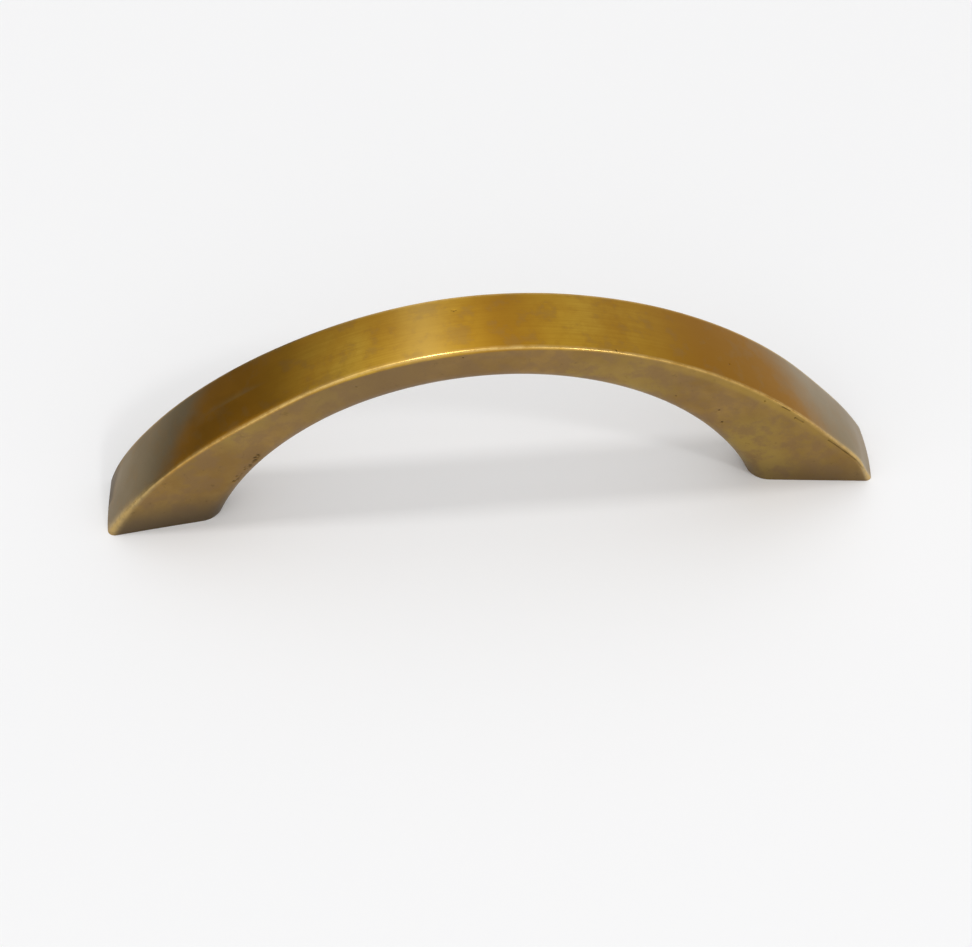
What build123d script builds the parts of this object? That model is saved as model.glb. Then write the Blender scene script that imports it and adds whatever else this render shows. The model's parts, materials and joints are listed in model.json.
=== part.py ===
from build123d import *
import math
import os

# Arched cabinet pull, one brass casting that stands on its two feet.
# The frame has +X along the pull, +Y across the bar and +Z away from the drawer front.
# Its origin is the middle of the mounting face, halfway between the two feet.

# Driving dimensions, in millimetres and degrees
LENGTH = 120.0  # tip to tip on the mounting face
RISE = 36.0  # mounting face to the crown of the outer face
WIDTH = 12.0  # outer face, edge to edge across the bar
SIDE_DRAFT = 8.0  # lean of each side, so the bar narrows towards the fingers
FOOT_LENGTH = 19.0  # tip to heel along the middle of a foot
OPENING_RISE = 27.3  # mounting face to the crown of the finger opening
OPENING_DROP = 15.0  # centre of the opening's ellipse, below the mounting face
OUTER_EDGE_RADIUS = 1.0  # softened long edges of the outer face
FINGER_EDGE_RADIUS = 3.6  # well rounded long edges on the finger side
FINGER_LAND = 0.25  # least flat left between those two roundings
GRINDING_ALLOWANCE = 3.0  # metal cast below the feet, ground off flat
HOLE_SPACING = 96.0  # between the centres of the two fixing holes
TAP_DRILL_DIAMETER = 3.3  # bored for an M4 thread
HOLE_DEPTH = 10.0  # full bore, without the drill point
DRILL_POINT_ANGLE = 118.0  # included angle of the drill point
MOUTH_CHAMFER = 0.4  # lead-in at the mouth of each hole

# Arc of the outer face, which stands on the length as its chord
OUTER_RADIUS = ((LENGTH / 2) ** 2 + RISE**2) / (2 * RISE)
OUTER_CENTRE_Z = RISE - OUTER_RADIUS

# Ellipse of the finger opening, which meets the mounting face at the two heels
HEEL_X = LENGTH / 2 - FOOT_LENGTH
OPENING_HALF_HEIGHT = OPENING_RISE + OPENING_DROP
OPENING_HALF_WIDTH = HEEL_X / math.sqrt(1 - (OPENING_DROP / OPENING_HALF_HEIGHT) ** 2)

# Section of the bar at its deepest, below the heels, where the drafted sides come closest
SECTION_DEPTH = OUTER_RADIUS - math.hypot(HEEL_X, OUTER_CENTRE_Z) + GRINDING_ALLOWANCE
OUTER_HALF_WIDTH = WIDTH / 2
INNER_HALF_WIDTH = OUTER_HALF_WIDTH - SECTION_DEPTH * math.tan(math.radians(SIDE_DRAFT))


def drafted_ring():
    """Ring whose rim is the outer face and whose two sides lean in towards its axis."""
    corners = [
        (-OUTER_HALF_WIDTH, RISE),
        (OUTER_HALF_WIDTH, RISE),
        (INNER_HALF_WIDTH, RISE - SECTION_DEPTH),
        (-INNER_HALF_WIDTH, RISE - SECTION_DEPTH),
    ]
    section = make_face(Plane.YZ * Polyline(*corners, close=True))
    outer_corners = section.vertices().group_by(Axis.Z)[-1]
    section = fillet(outer_corners, OUTER_EDGE_RADIUS)
    return revolve(section, axis=Axis((0, 0, OUTER_CENTRE_Z), (0, 1, 0)))


def finger_opening():
    """Oval core that leaves the space behind the bar."""
    near_side = Plane.XZ.offset(WIDTH)
    outline = near_side * Pos(0, -OPENING_DROP) * Ellipse(OPENING_HALF_WIDTH, OPENING_HALF_HEIGHT)
    return extrude(outline, amount=-2 * WIDTH)


def block_below(level):
    """Everything lower than a level, to trim the ring with."""
    reach = 2 * OUTER_RADIUS
    block = Box(2 * reach, 2 * WIDTH, reach, align=(Align.CENTER, Align.CENTER, Align.MAX))
    return Pos(0, 0, level) * block


def finger_edge_radius():
    """Rounding of the finger side, held to what the narrowest section has room for."""
    setback_per_radius = math.tan(math.radians(90 - SIDE_DRAFT) / 2)
    room = INNER_HALF_WIDTH - FINGER_LAND / 2
    return min(FINGER_EDGE_RADIUS, room / setback_per_radius)


def cast_arch():
    """The arch as it leaves the mould, its finger side well rounded and its feet not yet ground."""
    arch = drafted_ring() - finger_opening() - block_below(-GRINDING_ALLOWANCE)
    finger_face = arch.faces().filter_by(GeomType.EXTRUSION).first
    long_edges = finger_face.edges().filter_by(GeomType.LINE, reverse=True)
    return fillet(long_edges, finger_edge_radius())


def fixing_hole():
    """Blind hole drilled up into a foot from the mounting face, with its mouth chamfered."""
    bore_radius = TAP_DRILL_DIAMETER / 2
    point_height = bore_radius / math.tan(math.radians(DRILL_POINT_ANGLE / 2))
    mouth_radius = bore_radius + MOUTH_CHAMFER
    profile = [
        (0, 0),
        (mouth_radius, 0),
        (bore_radius, MOUTH_CHAMFER),
        (bore_radius, HOLE_DEPTH),
        (0, HOLE_DEPTH + point_height),
    ]
    return revolve(make_face(Plane.XZ * Polyline(*profile, close=True)), axis=Axis.Z)


def pull_body():
    """The finished casting: feet ground flat, then drilled."""
    body = cast_arch() - block_below(0)
    for side in (-1, 1):
        body -= Pos(side * HOLE_SPACING / 2, 0, 0) * fixing_hole()
    return body.solid()


os.makedirs("parts", exist_ok=True)
export_step(pull_body(), "parts/pull_body.step")
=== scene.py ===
import json
import math
import random

import bmesh
import bpy
import numpy as np
from mathutils import Matrix, Vector, kdtree, noise


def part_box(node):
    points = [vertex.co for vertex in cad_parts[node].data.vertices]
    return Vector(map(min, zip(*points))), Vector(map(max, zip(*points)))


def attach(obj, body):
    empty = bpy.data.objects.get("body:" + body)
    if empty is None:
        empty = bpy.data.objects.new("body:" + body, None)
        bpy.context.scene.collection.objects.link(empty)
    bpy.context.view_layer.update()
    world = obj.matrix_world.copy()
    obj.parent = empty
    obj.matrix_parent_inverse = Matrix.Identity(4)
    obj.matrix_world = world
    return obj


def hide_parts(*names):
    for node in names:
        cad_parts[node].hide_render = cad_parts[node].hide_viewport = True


# Arched brass pull, standing on its two feet on a pale table.
# Everything is in metres, in the frame of the solid model: X along the pull, Z up from the feet.

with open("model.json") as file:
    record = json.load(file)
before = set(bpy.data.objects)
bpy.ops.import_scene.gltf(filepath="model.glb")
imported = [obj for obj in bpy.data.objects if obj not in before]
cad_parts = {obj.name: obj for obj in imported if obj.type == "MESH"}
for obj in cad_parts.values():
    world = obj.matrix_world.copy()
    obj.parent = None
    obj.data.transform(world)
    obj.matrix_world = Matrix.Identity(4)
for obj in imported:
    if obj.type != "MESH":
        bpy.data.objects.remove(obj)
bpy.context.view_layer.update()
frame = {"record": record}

NODE = "pull_body"
BODY = "root"
MM = 0.001

# Sizes of the bar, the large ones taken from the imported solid
LOW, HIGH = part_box(NODE)
LENGTH = HIGH.x - LOW.x
RISE = HIGH.z
DRAFT = math.radians(8.0)  # lean of each side
EDGE = 0.16 * MM  # least rounding of the outer face's long edges
FINGER_EDGE = 3.6 * MM  # rounding of the long edges on the finger side
FOOT_LENGTH = 19.0 * MM  # tip to heel
OPENING_RISE = 27.3 * MM  # table to the crown of the finger opening
OPENING_DROP = 15.0 * MM  # centre of the opening's ellipse, below the table
HALF_WIDTH = HIGH.y

# Marks of casting and filing by hand, which leave the pull a little uneven.
# Places along the bar run from -1 at the left tip to 1 at the right one.
LEFT_TIP_BACK = (0.10 * MM, 1.50 * MM)  # metal filed off the left tip, near and far
RIGHT_TIP_BACK = (0.0 * MM, 0.25 * MM)  # and off the right tip
LEFT_TIP_POWER = 26.0  # how close to its tip each filing stays
RIGHT_TIP_POWER = 40.0
OPENING_SHIFT = -0.46 * MM  # the opening lies a little to the left
SHIFT_DEPTH = 8.0 * MM  # depth below the outer face at which that shift is full
CROWN = 0.22 * MM  # how far polishing dropped the outer face at its edges
# Worn roundings of the long edges where they reach the table, and how late each grows towards it
NEAR_LEFT_EDGE = (1.2 * MM, 7.0)
NEAR_RIGHT_EDGE = (0.8 * MM, 16.0)
FAR_LEFT_EDGE = (0.35 * MM, 7.0)
FAR_RIGHT_EDGE = (0.4 * MM, 7.0)
HANDLED_EDGE = 0.42 * MM  # extra rounding where the near edge is handled most
HANDLED_AT = -0.15
HANDLED_REACH = 0.32
SHOULDER_DROP = 0.5 * MM  # how much lower the left shoulder was filed than the right one
SHOULDER_AT = -0.42
SHOULDER_REACH = 0.28
FULL_TIP = 0.55 * MM  # how much fuller the near edge was left just above the right tip
FULL_AT = 0.92
FULL_REACH = 0.065
FAR_LEG_DROP = 0.32 * MM  # how far the far edge of the right leg was filed down
FAR_LEG_AT = 0.82
FAR_LEG_REACH = 0.12
TILT_DROP = 1.0 * MM  # how far the left leg was filed down towards its near edge
TILT_WIDTH = 11.7 * MM
TILT_POWER = 1.3
ROLL_DROP = 0.15 * MM  # and its edge rolled over by polishing
ROLL_WIDTH = 0.6 * MM
ROLL_AT = -0.56  # middle of that worn place, and its reach to either side
ROLL_TO_CROWN = 0.16
ROLL_TO_TIP = 0.24
WAVE = 0.035 * MM  # unevenness left by filing
WAVE_LENGTH = 9.0 * MM
WAVE_CLEARANCE = 2.0 * MM  # height over which it fades out above the table

# Curves that follow from those sizes
OUTER_RADIUS = ((LENGTH / 2) ** 2 + RISE**2) / (2 * RISE)
OUTER_CENTRE_Z = RISE - OUTER_RADIUS
END_ANGLE = math.asin(LENGTH / 2 / OUTER_RADIUS)
HEEL_X = LENGTH / 2 - FOOT_LENGTH
OPENING_HEIGHT = OPENING_RISE + OPENING_DROP
OPENING_WIDTH = HEEL_X / math.sqrt(1 - (OPENING_DROP / OPENING_HEIGHT) ** 2)

# Facets of the mesh
ALONG = 380
ACROSS_TOP = 28
ROUND_EDGE = 8
ACROSS_SIDE = 24
ROUND_FINGER = 14
ACROSS_FINGER = 6
CAP_RINGS = 6
REFINE_ROUNDS = 3
BISECTIONS = 50  # halvings that find where a curve meets the table
LEAST_ANGLE = 0.5  # where on the opening's ellipse that search begins
SHARP_ANGLE = math.radians(42.0)  # corners above this stay sharp in the shading

# Threaded fixing holes, placed as the record says
HOLES = next(m for m in frame["record"]["mounts"] if m["name"] == "fixing_holes")
HOLE_X = HOLES["dims"]["spacing_x_mm"] * MM / 2
BORE = HOLES["dims"]["hole_r_mm"] * MM
HOLE_DEPTH = 10.0 * MM
MOUTH_CHAMFER = 0.4 * MM
DRILL_POINT = math.radians(118.0)
PITCH = 0.7 * MM
THREAD_DEPTH = 0.33 * MM
THREADED = 8.2 * MM
STEPS_PER_PITCH = 6
CREST_STEEPNESS = 1.5  # form of a thread, which has flat crests and roots
CREST_SHIFT = 0.25

# Casting pits on the near side: distance along, height, radius and depth in millimetres
SIDE_PITS = [
    (28.27, 21.51, 0.20, 0.22),
    (35.05, 17.71, 0.22, 0.25),
    (35.69, 14.61, 0.30, 0.25),
    (41.96, 19.78, 0.24, 0.25),
    (-4.54, 34.28, 0.22, 0.20),
    (-20.71, 29.32, 0.35, 0.06),
    (46.82, 15.44, 0.28, 0.20),
]
# Rough patch on the left leg beside the opening, in millimetres: its two ends, how far it spreads,
# and how many pores of which radius
ROUGH_START = (-35.6, 14.2)
ROUGH_END = (-39.6, 8.3)
ROUGH_SPREAD = 0.20
ROUGH_PORES = 30
ROUGH_SIZE = (0.28, 0.62)
ROUGH_DEPTH = 0.26  # depth of a pore over its radius
ROUGH_SEED = 4
# Dents on the outer face: angle from the crown in degrees, place across, radius and depth in millimetres
TOP_DENTS = [
    (-4.55, 2.98, 0.22, 0.06),
    (-4.30, 2.88, 0.26, 0.09),
    (-4.05, 2.94, 0.20, 0.06),
    (32.7, -2.42, 0.26, 0.08),
    (16.1, -5.35, 0.30, 0.14),
]
# Small pores scattered over the far side: how many, radius in millimetres, reach along the bar,
# and depth below the outer face in millimetres
STRAY_PITS = 26
STRAY_SEED = 7
STRAY_SIZE = (0.10, 0.24)
STRAY_REACH = 0.9
STRAY_BELOW = (1.6, 6.0)
STRAY_DEPTH = 0.7  # depth of a pore over its radius
PIT_CLEARANCE = 1.5 * MM  # no pit this close to the table
# Ragged outline of every pit, as shares of its radius
PIT_REACH = 1.6  # nothing is pressed in beyond this
PIT_SIZE = 0.75  # plain size
PIT_RAGGED = 0.6  # how far the size wanders
PIT_GRAIN = 0.5  # over what distance
PIT_LEAST = 0.35  # least size
PIT_RIM = 1.15  # where the wall begins
DIRTY_DEPTH = 0.15 * MM  # a pit as deep as this is full of dirt

# Strokes of a fine groove under the near edge of the right leg: angle from the crown in degrees,
# depth below the outer face in millimetres
GROOVE = [
    [(41.6, 0.70), (42.9, 0.58)],
    [(44.6, 1.22), (46.0, 1.10)],
    [(51.3, 0.94), (53.3, 0.70), (55.3, 0.42), (57.2, 0.10), (59.2, 0.08)],
]
GROOVE_HALF_WIDTH = 0.16 * MM
GROOVE_DEPTH = 0.13 * MM
GROOVE_STEPS = 16  # points on each length of a stroke
GROOVE_AREA = 16.0 * MM  # reach of all the strokes from their middle
GROOVE_FLANK = 1.5  # reach of its flanks over the half width
GROOVE_SIZE = 0.8  # plain share of its depth
GROOVE_RAGGED = 0.5  # how far that share wanders
GROOVE_GRAIN = 0.9 * MM  # over what distance
GROOVE_DIRT = 0.75

# How far the mesh is split finer round each mark
PIT_SPLIT = 1.3  # over the pit's radius
PIT_SPLIT_MARGIN = 0.1 * MM
GROOVE_SPLIT = 2.2  # over the groove's half width
SEARCH_MARGIN = 0.5 * MM
FACETS_PER_MARK = 4

# Wear of the finish: bright edges, widest at the near left tip, and an outer face rubbed between the
# feet; also painted light: a highlight on the outer face, a sheen below the near edge and shade near the
# table
WORN_EDGE = 0.22 * MM
WORN_TIP = (4.6, 1.8)  # how much wider at the left and at the right tip
WORN_TIP_POWER = 12.0
LEG_WEAR = (0.45, 0.30)  # how much less the edges are worn on the left and on the right leg
LEG_START = 0.3  # where the legs begin beside the handled place, and over how much
LEG_FADE = 0.3
WORN_LINE = (0.5, 0.15)  # middle of the worn band: inwards and down, over the edge's rounding
POLISH_RIM = 1.5  # how far the polish of the outer face runs over the edge
RUBBED_MIDDLE = math.radians(-2.4)
RUBBED_END = math.radians(32.4)
RUBBED_FADE = math.radians(18.0)
# Places where it was rubbed less: angle and reach in degrees, and share
UNRUBBED = [(1.8, 4.6, 0.72), (-13.0, 3.5, 0.25), (16.0, 3.5, 0.2)]
DULL_LEFT = math.radians(40.5), math.radians(6.5)  # where the dull ends begin, and over how much
DULL_RIGHT = math.radians(37.0), math.radians(15.0)
DULL_LEAN = math.radians(5.0)
PAINTED_HIGHLIGHT_MIDDLE = math.radians(-8.5)  # painted highlight: where the outer face is painted paler, standing in for the overhead lamp's reflection
PAINTED_HIGHLIGHT_REACH = math.radians(3.4)
PAINTED_HIGHLIGHT_FAR = 0.9  # share of that at the far edge
TARNISH_MIDDLE = math.radians(-14.5)  # where the sides are darkest
TARNISH_REACH = math.radians(13.0)
GLOW_MIDDLE = 0.60  # painted sheen: soft lighter band below the near edge of the right leg
GLOW_REACH = 0.24
GLOW_DEPTH = 1.1 * MM
GLOW_RIM = 2.0
LOW_SHADE_HEIGHT = (9.0 * MM, 7.0 * MM)  # painted shade: how high each foot is darkened, left and right, and how much, for the table's contact shadow mirrored in the sides
LOW_SHADE_SHARE = (1.0, 0.60)

# Camera of the photograph: where it stands about a point just above the table,
# and its focal length in pixels
IMAGE_WIDTH = 972
FOCAL_PIXELS = 5000.0
SENSOR = 36.0
AZIMUTH = math.radians(-6.343)
ELEVATION = math.radians(47.838)
ROLL = math.radians(0.57)
DISTANCE = 0.77944
TARGET = Vector((-0.249, 0.0, 1.61)) * MM
CLIP_START = 0.01


def blend(a, b, t):
    return a + (b - a) * t


def smooth(t):
    t = np.clip(t, 0.0, 1.0)
    return t * t * (3 - 2 * t)


def edge_radius(u, left, right, handled):
    """Rounding of one long edge of the outer face, along the bar from u = -1 to 1."""
    grow_left = (left[0] - EDGE) * np.clip(-u, 0, 1) ** left[1]
    grow_right = (right[0] - EDGE) * np.clip(u, 0, 1) ** right[1]
    touched = handled * np.exp(-(((u - HANDLED_AT) / HANDLED_REACH) ** 2))
    return EDGE + grow_left + grow_right + touched


def shoulder(u):
    """How far the outer face lies below its plain arc at the left shoulder."""
    return SHOULDER_DROP * np.exp(-(((u - SHOULDER_AT) / SHOULDER_REACH) ** 2))


def worn_leg(u):
    """How much the near edge of the left leg is worn at a place along the bar, from 0 to 1."""
    reach = np.where(u > ROLL_AT, ROLL_TO_CROWN, ROLL_TO_TIP)
    return np.exp(-(((u - ROLL_AT) / reach) ** 2))


def near_drop(u, from_edge=0.0):
    """How much lower the outer face lies at a distance from its near edge."""
    tilt = TILT_DROP * max(0.0, 1 - from_edge / TILT_WIDTH) ** TILT_POWER
    roll = ROLL_DROP * max(0.0, 1 - from_edge / ROLL_WIDTH) ** 2
    full = FULL_TIP * np.exp(-(((u - FULL_AT) / FULL_REACH) ** 2)) * smooth((1 - u) / FULL_REACH)
    across = from_edge / (2 * HALF_WIDTH)
    far = FAR_LEG_DROP * np.exp(-(((u - FAR_LEG_AT) / FAR_LEG_REACH) ** 2))
    return (tilt + roll) * worn_leg(u) - full * (1 - across) + far * across**2


def near_slope(u):
    """How steeply the outer face falls where the rounding of its near edge begins."""
    tilt = TILT_POWER * TILT_DROP / TILT_WIDTH
    roll = 2 * ROLL_DROP / ROLL_WIDTH
    return np.arctan((tilt + roll) * worn_leg(u))


def near_radius(u):
    return edge_radius(u, NEAR_LEFT_EDGE, NEAR_RIGHT_EDGE, HANDLED_EDGE)


def far_radius(u):
    return edge_radius(u, FAR_LEFT_EDGE, FAR_RIGHT_EDGE, 0.0)


def outer_rail(u, depth):
    """Curve in the X-Z plane that lies below the outer face by depth and ends on the table."""
    radius = OUTER_RADIUS - depth
    end_left = math.acos(-OUTER_CENTRE_Z / radius[0])
    end_right = math.acos(-OUTER_CENTRE_Z / radius[-1])
    angle = u * blend(end_left, end_right, (u + 1) / 2)
    return radius * np.sin(angle), OUTER_CENTRE_Z + radius * np.cos(angle)


def opening_point(t, offset):
    """Point of the finger opening's ellipse, moved out into the metal by offset."""
    normal_x = np.sin(t) / OPENING_WIDTH
    normal_z = np.cos(t) / OPENING_HEIGHT
    size = np.hypot(normal_x, normal_z)
    x = OPENING_WIDTH * np.sin(t) + offset * normal_x / size
    z = OPENING_HEIGHT * np.cos(t) - OPENING_DROP + offset * normal_z / size
    return x, z


def finger_rail(u, offset):
    """Curve that keeps a distance from the finger opening and ends on the table."""
    low, high = LEAST_ANGLE, math.pi / 2
    for _ in range(BISECTIONS):
        middle = (low + high) / 2
        if opening_point(middle, offset)[1] > 0:
            low = middle
        else:
            high = middle
    return opening_point(u * low, offset)


def depth_below_outer(x, z):
    return OUTER_RADIUS - np.hypot(x, z - OUTER_CENTRE_Z)


def side_half_width(x, z, radius=EDGE):
    """Half width of the bar between the two drafted sides, below an outer edge of that rounding."""
    sharp = HALF_WIDTH + radius * (math.tan(DRAFT) + 1 / math.cos(DRAFT) - 1)
    return sharp - (depth_below_outer(x, z) - CROWN) * math.tan(DRAFT)


def half_section(u, radius, drop, slope):
    """Rails of one half of the section, from the outer face's rounding to the finger face."""
    rails = []
    slope = 2 * CROWN / HALF_WIDTH + slope
    fall = shoulder(u) + drop - radius * (1 - np.cos(slope))
    for k in range(ROUND_EDGE + 1):
        angle = blend(slope, math.pi / 2 + DRAFT, k / ROUND_EDGE)
        x, z = outer_rail(u, CROWN + fall + radius * (1 - np.cos(angle)))
        rails.append((x, HALF_WIDTH - fall * math.tan(DRAFT) - radius * (1 - np.sin(angle)), z))
    top_x, top_z = rails[-1][0], rails[-1][2]
    low_x, low_z = finger_rail(u, FINGER_EDGE * (1 - math.sin(DRAFT)))
    for k in range(1, ACROSS_SIDE):
        t = k / ACROSS_SIDE
        x, z = blend(top_x, low_x, t), blend(top_z, low_z, t)
        rails.append((x, side_half_width(x, z, radius), z))
    centre_x, centre_z = finger_rail(u, FINGER_EDGE)
    centre = side_half_width(centre_x, centre_z, radius) - FINGER_EDGE / math.cos(DRAFT)
    for k in range(ROUND_FINGER + 1):
        angle = blend(-DRAFT, -math.pi / 2, k / ROUND_FINGER)
        x, z = finger_rail(u, FINGER_EDGE * (1 + math.sin(angle)))
        rails.append((x, centre + FINGER_EDGE * math.cos(angle), z))
    inset = np.maximum(0.0, -fall) * math.tan(DRAFT)
    return [(x, y - inset, z) for x, y, z in rails]


def bar_rails():
    """All the rails round the section, from the far edge of the outer face round to it again."""
    u = np.linspace(-1, 1, ALONG + 1)
    near = half_section(u, near_radius(u), near_drop(u), near_slope(u))
    far = half_section(u, far_radius(u), near_drop(u, 2 * HALF_WIDTH), 0.0)
    rails = []
    for k in range(1, ACROSS_TOP):
        t = k / ACROSS_TOP
        drop = shoulder(u) + near_drop(u, 2 * HALF_WIDTH * (1 - t))
        x, z = outer_rail(u, CROWN * (2 * t - 1) ** 2 + drop)
        rails.append((x, blend(far[0][1], -near[0][1], t), z))
    rails += [(x, -y, z) for x, y, z in near]
    for k in range(1, ACROSS_FINGER):
        y = blend(-near[-1][1], far[-1][1], k / ACROSS_FINGER)
        rails.append((near[-1][0], y, near[-1][2]))
    rails += far[::-1]
    return np.array(rails).transpose(2, 0, 1)


def uneven(skin):
    """Hand filing: the tips filed back askew and the opening a little off the middle."""
    x, z = skin[..., 0], skin[..., 2]
    shift = OPENING_SHIFT * np.clip(depth_below_outer(x, z) / SHIFT_DEPTH, 0, 1)
    across = (1 + skin[..., 1] / HALF_WIDTH) / 2
    filed_left = blend(*LEFT_TIP_BACK, across) * np.clip(-2 * x / LENGTH, 0, 1) ** LEFT_TIP_POWER
    filed_right = blend(*RIGHT_TIP_BACK, across**2) * np.clip(2 * x / LENGTH, 0, 1) ** RIGHT_TIP_POWER
    skin = skin.copy()
    skin[..., 0] = x + shift + filed_left - filed_right
    return skin


def foot_rings(outline, side):
    """Rings that close a foot: ground face, chamfered mouth, thread, bore and the drill point."""
    centre = np.array([side * HOLE_X, 0.0, 0.0])
    spoke = outline - centre
    spoke /= np.linalg.norm(spoke, axis=1)[:, None]
    turn = np.arctan2(spoke[:, 1], spoke[:, 0]) / (2 * math.pi)
    mouth = centre + spoke * (BORE + MOUTH_CHAMFER)
    rings = [blend(outline, mouth, k / CAP_RINGS) for k in range(1, CAP_RINGS + 1)]
    step = PITCH / STEPS_PER_PITCH
    for k in range(1, int(HOLE_DEPTH / step) + 1):
        height = k * step
        phase = (height / PITCH - turn) % 1.0
        crest = np.clip(CREST_STEEPNESS * (1 - np.abs(2 * phase - 1)) - CREST_SHIFT, 0, 1)
        crest *= float(smooth((THREADED - height) / PITCH))
        radius = np.maximum(BORE + THREAD_DEPTH * crest, BORE + MOUTH_CHAMFER - height)
        rings.append(centre + spoke * radius[:, None] + np.array([0, 0, height]))
    rings.append(centre + spoke * BORE + np.array([0, 0, HOLE_DEPTH]))
    point = centre + np.array([0, 0, HOLE_DEPTH + BORE / math.tan(DRILL_POINT / 2)])
    return rings, point


def body_mesh():
    """Skin of the bar and of both feet as one closed mesh."""
    skin = uneven(bar_rails())
    stations, count, _ = skin.shape
    points = [skin.reshape(-1, 3)]
    faces = []
    for i in range(stations - 1):
        for j in range(count):
            k = (j + 1) % count
            a, b = i * count, (i + 1) * count
            faces.append((a + j, a + k, b + k, b + j))
    total = stations * count
    for side, station in ((-1, 0), (1, stations - 1)):
        rings, point = foot_rings(skin[station], side)
        last = station * count
        for ring in rings:
            points.append(ring)
            for j in range(count):
                k = (j + 1) % count
                quad = (last + j, last + k, total + k, total + j)
                faces.append(quad if side > 0 else quad[::-1])
            last = total
            total += count
        points.append(point[None])
        for j in range(count):
            tri = (last + j, last + (j + 1) % count, total)
            faces.append(tri if side > 0 else tri[::-1])
        total += 1
    mesh = bpy.data.meshes.new("cast_arch")
    mesh.from_pydata(np.concatenate(points).tolist(), [], faces)
    mesh.validate()
    return mesh


def on_side(x, z, side=-1):
    return Vector((x, side * float(side_half_width(x, z)), z))


def on_outer(angle, y, depth=0.0):
    radius = OUTER_RADIUS - depth - CROWN * (y / HALF_WIDTH) ** 2 - float(shoulder(angle / END_ANGLE))
    return Vector((radius * math.sin(angle), y, OUTER_CENTRE_Z + radius * math.cos(angle)))


def groove_points():
    """Points along the groove under the near edge of the right leg."""
    points = []
    for stroke in GROOVE:
        for start, end in zip(stroke, stroke[1:]):
            for k in range(GROOVE_STEPS + 1):
                angle = math.radians(blend(start[0], end[0], k / GROOVE_STEPS))
                depth = blend(start[1], end[1], k / GROOVE_STEPS) * MM
                place = on_outer(angle, 0.0, depth)
                points.append(on_side(place.x, place.z))
    return points


def marks():
    """Every pit and dent as centre, radius and depth."""
    found = [(on_side(x * MM, z * MM), r * MM, d * MM) for x, z, r, d in SIDE_PITS]
    for angle, y, r, d in TOP_DENTS:
        found.append((on_outer(math.radians(angle), y * MM), r * MM, d * MM))
    chance = random.Random(ROUGH_SEED)
    for _ in range(ROUGH_PORES):
        t = chance.random()
        x = blend(ROUGH_START[0], ROUGH_END[0], t) + chance.gauss(0, ROUGH_SPREAD)
        z = blend(ROUGH_START[1], ROUGH_END[1], t) + chance.gauss(0, ROUGH_SPREAD)
        radius = blend(*ROUGH_SIZE, chance.random() ** 2) * MM
        found.append((on_side(x * MM, z * MM), radius, ROUGH_DEPTH * radius))
    chance = random.Random(STRAY_SEED)
    for _ in range(STRAY_PITS):
        angle = chance.uniform(-STRAY_REACH, STRAY_REACH) * END_ANGLE
        place = on_outer(angle, 0.0, chance.uniform(*STRAY_BELOW) * MM)
        radius = chance.uniform(*STRAY_SIZE) * MM
        found.append((on_side(place.x, place.z, 1), radius, STRAY_DEPTH * radius))
    return [m for m in found if m[0].z > PIT_CLEARANCE]


def refine(mesh, spots, groove):
    """Splits the facets round each mark, so that its shape is in the mesh."""
    tree = kdtree.KDTree(len(spots) + len(groove))
    reach = []
    for k, (centre, radius, _) in enumerate(spots):
        tree.insert(centre, k)
        reach.append(PIT_SPLIT * radius + PIT_SPLIT_MARGIN)
    for k, point in enumerate(groove):
        tree.insert(point, len(spots) + k)
        reach.append(GROOVE_SPLIT * GROOVE_HALF_WIDTH)
    tree.balance()
    bm = bmesh.new()
    bm.from_mesh(mesh)
    widest = max(reach) + SEARCH_MARGIN
    for _ in range(REFINE_ROUNDS):
        edges = {}
        for face in bm.faces:
            middle = face.calc_center_median()
            size = max(e.calc_length() for e in face.edges)
            for _, k, gap in tree.find_range(middle, widest):
                if gap < reach[k] + size / 2 and size > reach[k] / FACETS_PER_MARK:
                    edges.update(dict.fromkeys(face.edges))
                    break
        bmesh.ops.subdivide_edges(bm, edges=list(edges), cuts=1, use_grid_fill=True)
    bmesh.ops.triangulate(bm, faces=[f for f in bm.faces if len(f.verts) > 4])
    bm.to_mesh(mesh)
    bm.free()


def vertex_arrays(mesh):
    count = len(mesh.vertices)
    place = np.empty(count * 3)
    mesh.vertices.foreach_get("co", place)
    normal = np.array([n.vector for n in mesh.vertex_normals]).reshape(-1, 3)
    return place.reshape(-1, 3), normal


def carve(mesh, spots, groove):
    """Presses the marks into the skin and returns how dirty each point is."""
    place, normal = vertex_arrays(mesh)
    depth = np.zeros(len(place))
    dirt = np.zeros(len(place))
    for centre, radius, deep in spots:
        gap = np.linalg.norm(place - np.array(centre), axis=1)
        for k in np.nonzero(gap < PIT_REACH * radius)[0]:
            ragged = PIT_SIZE + PIT_RAGGED * noise.noise(Vector(place[k]) / (PIT_GRAIN * radius))
            fall = float(smooth(PIT_RIM - gap[k] / (radius * max(ragged, PIT_LEAST))))
            depth[k] = max(depth[k], deep * fall)
            dirt[k] = max(dirt[k], fall * min(1.0, deep / DIRTY_DEPTH))
    line = np.array(groove)
    close = np.nonzero(np.linalg.norm(place - line[len(line) // 2], axis=1) < GROOVE_AREA)[0]
    for k in close:
        gap = np.linalg.norm(line - place[k], axis=1).min()
        ragged = GROOVE_SIZE + GROOVE_RAGGED * noise.noise(Vector(place[k]) / GROOVE_GRAIN)
        fall = float(smooth(1.0 - gap / (GROOVE_FLANK * GROOVE_HALF_WIDTH))) * ragged
        depth[k] = max(depth[k], GROOVE_DEPTH * fall)
        dirt[k] = max(dirt[k], min(1.0, GROOVE_DIRT * fall))
    rise = np.array([noise.noise(Vector(p) / WAVE_LENGTH) for p in place])
    free = smooth(place[:, 2] / WAVE_CLEARANCE)
    depth += WAVE * (1 + rise) / 2 * free
    place -= normal * depth[:, None]
    mesh.vertices.foreach_set("co", place.ravel())
    mesh.update()
    return dirt


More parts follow.
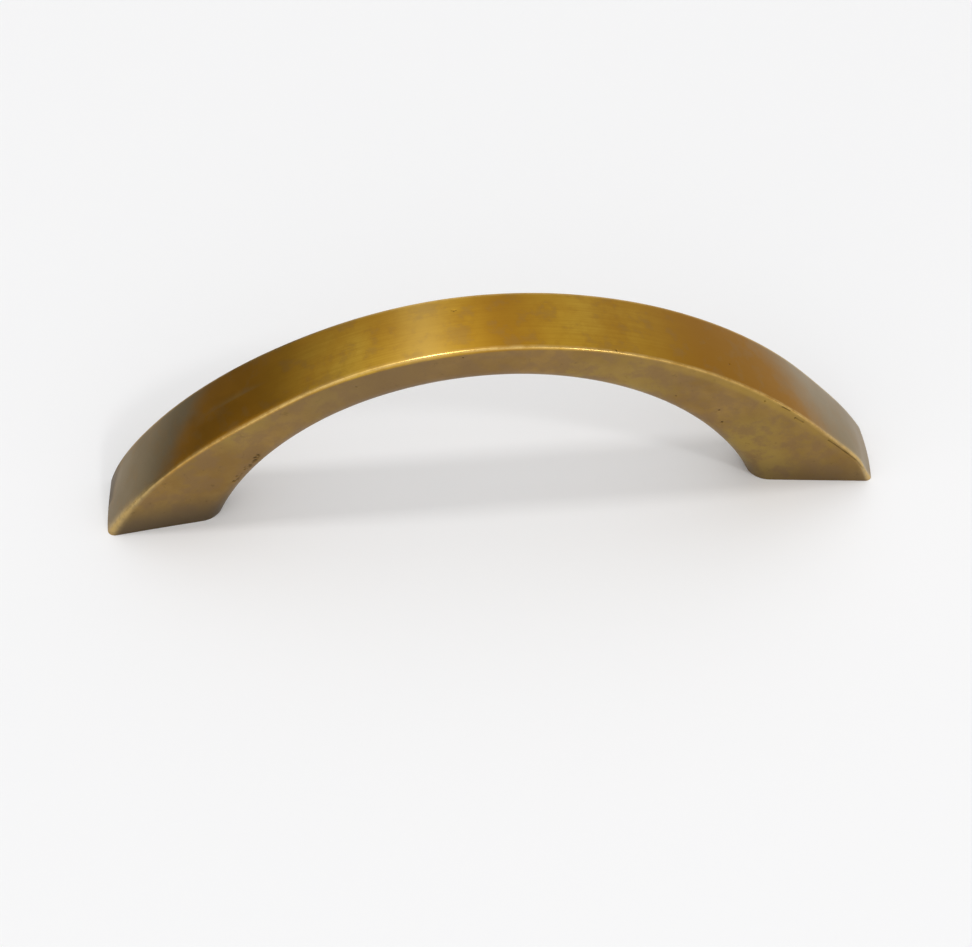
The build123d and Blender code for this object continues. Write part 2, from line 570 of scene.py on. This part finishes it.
def paint(mesh, dirt):
    """Stores where the finish changes: outer face, worn edges and dirt, painted highlight, sheen and
    shade, and the place along the bar.
    """
    place, normal = vertex_arrays(mesh)
    x, y, z = place.T
    depth = depth_below_outer(x, z)
    angle = np.arctan2(x, z - OUTER_CENTRE_Z)
    u = angle / END_ANGLE
    radius = np.where(y < 0, near_radius(u), far_radius(u))
    fall = shoulder(u) + np.where(y < 0, near_drop(u), near_drop(u, 2 * HALF_WIDTH))
    below = depth - CROWN - fall
    edge_y = HALF_WIDTH - fall * math.tan(DRAFT) - WORN_LINE[0] * radius
    corner = np.hypot(np.abs(y) - edge_y, below - WORN_LINE[1] * radius)
    near_tip = np.abs(2 * x / LENGTH) ** WORN_TIP_POWER * (y < 0)
    worn_width = WORN_EDGE * (1 + np.where(x < 0, *WORN_TIP) * near_tip)
    on_legs = smooth((np.abs(u - HANDLED_AT) - LEG_START) / LEG_FADE)
    missed = sum(s * np.exp(-(((np.degrees(angle) - a) / r) ** 2)) for a, r, s in UNRUBBED)
    rubbed = smooth((RUBBED_END - np.abs(angle - RUBBED_MIDDLE)) / RUBBED_FADE)
    # painted sheen: lighter band on the near side below the edge of the right leg
    glow = np.exp(-(((u - GLOW_MIDDLE) / GLOW_REACH) ** 2)) * (y < 0)
    glow = glow * smooth(GLOW_RIM - below / GLOW_DEPTH)
    lean = DULL_LEAN * y / HALF_WIDTH
    across = (1 + y / HALF_WIDTH) / 2
    layers = {
        "polish": smooth(POLISH_RIM - below / radius),
        "edge_wear": np.exp(-((corner / worn_width) ** 2)) * (1 - np.where(x < 0, *LEG_WEAR) * on_legs),
        "rubbed": rubbed * np.clip(1 - missed, 0, 1),
        "dull_left": smooth((lean - angle - DULL_LEFT[0]) / DULL_LEFT[1]),
        "dull_right": smooth((lean + angle - DULL_RIGHT[0]) / DULL_RIGHT[1]),
        "glow": glow,
        # painted highlight: paler colour where the overhead lamp's reflection falls on the outer face
        "painted_highlight": np.exp(-(((angle - PAINTED_HIGHLIGHT_MIDDLE) / PAINTED_HIGHLIGHT_REACH) ** 2)) * blend(1.0, PAINTED_HIGHLIGHT_FAR, across),
        "tarnish": np.exp(-(((angle - TARNISH_MIDDLE) / TARNISH_REACH) ** 2)),
        # low: painted shade, darker towards the table, for the contact shadow mirrored in the feet
        "low": smooth(1.0 - z / np.where(x < 0, *LOW_SHADE_HEIGHT)) * np.where(x < 0, *LOW_SHADE_SHARE),
        "dirt": dirt,
    }
    for name, values in layers.items():
        layer = mesh.attributes.new(name, "FLOAT", "POINT")
        layer.data.foreach_set("value", values.astype(np.float32))
    along = np.stack([angle * OUTER_RADIUS, y, depth], axis=1)
    layer = mesh.attributes.new("along_bar", "FLOAT_VECTOR", "POINT")
    layer.data.foreach_set("vector", along.astype(np.float32).ravel())


def shade(mesh):
    mesh.shade_smooth()
    mesh.set_sharp_from_angle(angle=SHARP_ANGLE)


class Nodes:
    """Shorthand for building a node tree."""

    def __init__(self, tree):
        self.tree = tree

    def add(self, kind, **settings):
        node = self.tree.nodes.new(kind)
        for name, value in settings.items():
            setattr(node, name, value)
        return node

    def link(self, source, target):
        self.tree.links.new(source, target)

    def attribute(self, name, output="Fac"):
        return self.add("ShaderNodeAttribute", attribute_name=name).outputs[output]

    def noise(self, vector, scale, detail, roughness):
        node = self.add("ShaderNodeTexNoise")
        node.inputs["Scale"].default_value = scale
        node.inputs["Detail"].default_value = detail
        node.inputs["Roughness"].default_value = roughness
        self.link(vector, node.inputs["Vector"])
        return node.outputs["Fac"]

    def stretch(self, vector, scale):
        node = self.add("ShaderNodeMapping")
        node.inputs["Scale"].default_value = scale
        self.link(vector, node.inputs["Vector"])
        return node.outputs["Vector"]

    def remap(self, value, low, high, to_low=0.0, to_high=1.0):
        node = self.add("ShaderNodeMapRange", interpolation_type="SMOOTHSTEP")
        limits = {"From Min": low, "From Max": high, "To Min": to_low, "To Max": to_high}
        for name, number in limits.items():
            node.inputs[name].default_value = number
        self.link(value, node.inputs["Value"])
        return node.outputs["Result"]

    def math(self, operation, a, b):
        node = self.add("ShaderNodeMath", operation=operation)
        for socket, value in zip(node.inputs, (a, b)):
            if isinstance(value, (int, float)):
                socket.default_value = value
            else:
                self.link(value, socket)
        return node.outputs["Value"]

    def mix(self, factor, a, b):
        """Colour a where factor is 0, colour b where it is 1."""
        node = self.add("ShaderNodeMix", data_type="RGBA")
        self.link(factor, node.inputs[0])
        for socket, value in ((node.inputs[6], a), (node.inputs[7], b)):
            if isinstance(value, tuple):
                socket.default_value = (*value, 1.0)
            else:
                self.link(value, socket)
        return node.outputs[2]


# Colours of the brass
SIDE_BROWN = (0.345, 0.209, 0.060)
SIDE_DARK = (0.275, 0.162, 0.046)
# painted shade near the table
SIDE_LOW_SHADE = (0.135, 0.096, 0.054)
SIDE_OLIVE = (0.358, 0.239, 0.060)
SIDE_PURPLE = (0.262, 0.159, 0.065)
SIDE_TARNISH = (0.222, 0.138, 0.056)
SIDE_GLOW = (0.44, 0.285, 0.055)
TOP_GOLD = (0.54, 0.306, 0.028)
TOP_BROWN = (0.355, 0.162, 0.013)
TOP_PALE = (0.61, 0.382, 0.052)
TOP_DULL_LEFT = (0.235, 0.173, 0.088)
TOP_DULL_RIGHT = (0.300, 0.229, 0.131)
WORN_GOLD = (0.77, 0.52, 0.18)
# painted highlight: paler, whiter colour for the lamp's reflection on the outer face
TOP_PAINTED_HIGHLIGHT = (0.61, 0.395, 0.105)
GRIME = (0.045, 0.028, 0.012)

# Patterns of the finish: scale per metre, detail and roughness of each noise
BLOTCH = (95.0, 5.0, 0.6)
CLOUD = (40.0, 3.0, 0.55)
MOTTLE = (330.0, 5.0, 0.62)
GRAIN = (2600.0, 3.0, 0.7)
SPECK = (800.0, 4.0, 0.65)
BRUSHED = (1.0, 4.0, 0.6)
BRUSHED_STRETCH = (60.0, 2600.0, 2600.0)  # short across the bar and long along it

# How each pattern shows: where it begins and is full, and its share at those two
BROWN_BLOTCHES = (0.36, 0.64)
OLIVE_CLOUDS = (0.45, 0.68)
PURPLE_MOTTLES = (0.40, 0.62, 0.0, 0.75)
PALE_CLOUDS = (0.40, 0.70)
RUBBED_BLOTCHES = (0.32, 0.58, 0.62, 1.0)
TOP_MOTTLES = (0.42, 0.64, 0.0, 0.36)
TOP_STREAKS = (0.36, 0.66, 0.0, 0.26)
DULL_PATCHES = (0.32, 0.68, -0.13, 0.08)
WORN_SPECKS = (0.30, 0.62, 0.45, 1.0)
STAIN_SPECKS = (0.60, 0.78, 0.0, 0.30)
STAIN_OFF_TOP = (0.0, 0.6, 1.0, 0.0)
PAINTED_HIGHLIGHT_SHARE = 0.5
TARNISH_SHARE = 0.9
GLOW_SHARE = 0.6
DIRT_SHARE = 0.85

# Roughness and relief of the finish
BLOTCH_ROUGHNESS = (0.3, 0.7, 0.10, 0.0)
PLAIN_ROUGHNESS = (0.0, 1.0, 0.42, 0.36)  # from the sides to the outer face
DIRT_ROUGHNESS = 0.3
WORN_SMOOTHNESS = 0.20
GRAIN_RELIEF = 0.5
SPECK_RELIEF = 0.6
BRUSHED_RELIEF = 0.5
BUMP_STRENGTH = (0.0, 0.8, 0.10, 0.02)  # weaker on worn edges
BUMP_DISTANCE = 0.03 * MM


def brass():
    """Aged brass: a rubbed outer face, dull sides, bright edges, mottled and finely scratched, with
    painted highlight, sheen and shade.
    """
    material = bpy.data.materials.new("aged_brass_patina_painted_light")
    material.use_nodes = True
    n = Nodes(material.node_tree)
    bsdf = material.node_tree.nodes["Principled BSDF"]
    place = n.add("ShaderNodeTexCoord").outputs["Object"]
    along = n.attribute("along_bar", "Vector")
    polish = n.attribute("polish")
    wear = n.attribute("edge_wear")
    dirt = n.attribute("dirt")

    blotch = n.noise(place, *BLOTCH)
    cloud = n.noise(place, *CLOUD)
    mottle = n.noise(place, *MOTTLE)
    grain = n.noise(place, *GRAIN)
    speck = n.noise(place, *SPECK)
    brushed = n.noise(n.stretch(along, BRUSHED_STRETCH), *BRUSHED)

    side = n.mix(n.remap(blotch, *BROWN_BLOTCHES), SIDE_DARK, SIDE_BROWN)
    side = n.mix(n.remap(cloud, *OLIVE_CLOUDS), side, SIDE_OLIVE)
    side = n.mix(n.remap(mottle, *PURPLE_MOTTLES), side, SIDE_PURPLE)
    side = n.mix(n.math("MULTIPLY", n.attribute("tarnish"), TARNISH_SHARE), side, SIDE_TARNISH)
    # painted sheen below the near edge of the right leg
    side = n.mix(n.math("MULTIPLY", n.attribute("glow"), GLOW_SHARE), side, SIDE_GLOW)
    # painted shade: the sides darkened towards the table
    side = n.mix(n.attribute("low"), side, SIDE_LOW_SHADE)

    gold = n.mix(n.remap(cloud, *PALE_CLOUDS), TOP_GOLD, TOP_PALE)
    rubbed = n.math("MULTIPLY", n.attribute("rubbed"), n.remap(blotch, *RUBBED_BLOTCHES))
    top = n.mix(rubbed, TOP_BROWN, gold)
    top = n.mix(n.remap(mottle, *TOP_MOTTLES), top, TOP_BROWN)
    top = n.mix(n.remap(brushed, *TOP_STREAKS), top, TOP_BROWN)
    # painted highlight: the lamp's reflection painted paler on the outer face
    top = n.mix(n.math("MULTIPLY", n.attribute("painted_highlight"), PAINTED_HIGHLIGHT_SHARE), top, TOP_PAINTED_HIGHLIGHT)
    patchy = n.remap(mottle, *DULL_PATCHES)
    top = n.mix(n.math("ADD", n.attribute("dull_left"), patchy), top, TOP_DULL_LEFT)
    top = n.mix(n.math("ADD", n.attribute("dull_right"), patchy), top, TOP_DULL_RIGHT)

    colour = n.mix(polish, side, top)
    colour = n.mix(n.math("MULTIPLY", wear, n.remap(speck, *WORN_SPECKS)), colour, WORN_GOLD)
    stain = n.math("MULTIPLY", n.remap(speck, *STAIN_SPECKS), n.remap(polish, *STAIN_OFF_TOP))
    colour = n.mix(stain, colour, GRIME)
    colour = n.mix(n.math("MULTIPLY", dirt, DIRT_SHARE), colour, GRIME)
    n.link(colour, bsdf.inputs["Base Color"])

    rough = n.math("ADD", n.remap(blotch, *BLOTCH_ROUGHNESS), n.remap(polish, *PLAIN_ROUGHNESS))
    rough = n.math("ADD", rough, n.math("MULTIPLY", dirt, DIRT_ROUGHNESS))
    rough = n.math("SUBTRACT", rough, n.math("MULTIPLY", wear, WORN_SMOOTHNESS))
    n.link(rough, bsdf.inputs["Roughness"])

    streaks = n.math("MULTIPLY", n.math("MULTIPLY", brushed, polish), BRUSHED_RELIEF)
    grains = n.math("MULTIPLY", grain, GRAIN_RELIEF)
    specks = n.math("MULTIPLY", speck, SPECK_RELIEF)
    relief = n.math("ADD", n.math("ADD", grains, specks), streaks)
    bump = n.add("ShaderNodeBump")
    n.link(n.remap(wear, *BUMP_STRENGTH), bump.inputs["Strength"])
    bump.inputs["Distance"].default_value = BUMP_DISTANCE
    n.link(relief, bump.inputs["Height"])
    n.link(bump.outputs["Normal"], bsdf.inputs["Normal"])

    bsdf.inputs["Metallic"].default_value = 1.0
    return material


def pull():
    """The casting with its marks and its finish."""
    mesh = body_mesh()
    spots, groove = marks(), groove_points()
    refine(mesh, spots, groove)
    dirt = carve(mesh, spots, groove)
    paint(mesh, dirt)
    shade(mesh)
    mesh.materials.append(brass())
    piece = bpy.data.objects.new("cast_arch", mesh)
    bpy.context.scene.collection.objects.link(piece)
    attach(piece, BODY)
    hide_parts(NODE)


# Table that the pull stands on
TABLE_SIZE = 6.0
TABLE_COLOUR = (0.90, 0.90, 0.905, 1)
TABLE_ROUGHNESS = 0.7


def table():
    """Pale plain table."""
    bpy.ops.mesh.primitive_plane_add(size=TABLE_SIZE)
    top = bpy.context.object
    top.name = "table"
    material = bpy.data.materials.new("white_table")
    material.use_nodes = True
    bsdf = material.node_tree.nodes["Principled BSDF"]
    bsdf.inputs["Base Color"].default_value = TABLE_COLOUR
    bsdf.inputs["Roughness"].default_value = TABLE_ROUGHNESS
    top.data.materials.append(material)


def soft_box(name, place, size, power):
    data = bpy.data.lights.new(name, "AREA")
    data.shape = "SQUARE"
    data.size = size
    data.energy = power
    light = bpy.data.objects.new(name, data)
    light.location = place
    light.rotation_euler = (-Vector(place)).to_track_quat("-Z", "Y").to_euler()
    bpy.context.scene.collection.objects.link(light)


# Lamps: place, size and power
OVERHEAD = (-0.18, 0.010, 0.98), 0.11, 1.5
FRONT_RIGHT = (0.53, -0.65, 0.90), 0.11, 1.55

# Room that lights the pull: its plain level, then for each side its direction,
# the cosines at which it begins and is full, and the light that it adds
ROOM = 0.57
CEILING = Vector((-0.46, 0.46, 0.86)).normalized()
CEILING_SPREAD = (0.70, 0.96)
CEILING_LIGHT = 0.65
RIGHT_WALL = Vector((0.75, 0.60, 0.30)).normalized()
RIGHT_WALL_SPREAD = (0.6, 0.95)
RIGHT_WALL_LIGHT = 0.12
WINDOW = Vector((0.0, -1.0, 0.12)).normalized()
WINDOW_SPREAD = (-0.2, 0.9)
WINDOW_LIGHT = 0.42
DARK_CORNER = Vector((-0.75, 0.60, 0.25)).normalized()
DARK_SPREAD = (0.70, 0.96)
DARK_SHARE = 0.17  # light left in the dark corner


def towards(n, direction, side):
    """How far a direction points to one side of the room."""
    node = n.add("ShaderNodeVectorMath", operation="DOT_PRODUCT")
    n.link(direction, node.inputs[0])
    node.inputs[1].default_value = side
    return node.outputs["Value"]


def lights():
    """A small lamp overhead, another in front on the right, and a room with one dark corner."""
    soft_box("overhead", *OVERHEAD)
    soft_box("front_right", *FRONT_RIGHT)
    world = bpy.data.worlds.new("studio")
    bpy.context.scene.world = world
    world.use_nodes = True
    n = Nodes(world.node_tree)
    direction = n.add("ShaderNodeTexCoord").outputs["Generated"]
    strength = n.remap(towards(n, direction, CEILING), *CEILING_SPREAD, ROOM, ROOM + CEILING_LIGHT)
    right_wall = n.remap(towards(n, direction, RIGHT_WALL), *RIGHT_WALL_SPREAD, 0.0, RIGHT_WALL_LIGHT)
    strength = n.math("ADD", strength, right_wall)
    window = n.remap(towards(n, direction, WINDOW), *WINDOW_SPREAD, 0.0, WINDOW_LIGHT)
    strength = n.math("ADD", strength, window)
    dark = n.remap(towards(n, direction, DARK_CORNER), *DARK_SPREAD, 1.0, DARK_SHARE)
    strength = n.math("MULTIPLY", strength, dark)
    background = world.node_tree.nodes["Background"]
    background.inputs["Color"].default_value = (1, 1, 1, 1)
    n.link(strength, background.inputs["Strength"])


def camera():
    """Camera at the photograph's viewing angle."""
    flat = math.cos(ELEVATION)
    back = Vector((math.sin(AZIMUTH) * flat, -math.cos(AZIMUTH) * flat, math.sin(ELEVATION)))
    level = Vector((0, 0, 1)).cross(back).normalized()
    right = level * math.cos(ROLL) + back.cross(level) * math.sin(ROLL)
    up = back.cross(right)
    data = bpy.data.cameras.new("camera")
    data.sensor_fit = "HORIZONTAL"
    data.sensor_width = SENSOR
    data.lens = FOCAL_PIXELS / IMAGE_WIDTH * SENSOR
    data.clip_start = CLIP_START
    eye = bpy.data.objects.new("camera", data)
    turn = Matrix((right, up, back)).transposed()
    eye.matrix_world = Matrix.Translation(TARGET + back * DISTANCE) @ turn.to_4x4()
    bpy.context.scene.collection.objects.link(eye)
    bpy.context.scene.camera = eye


pull()
table()
lights()
camera()
bpy.context.scene.view_settings.view_transform = "Standard"
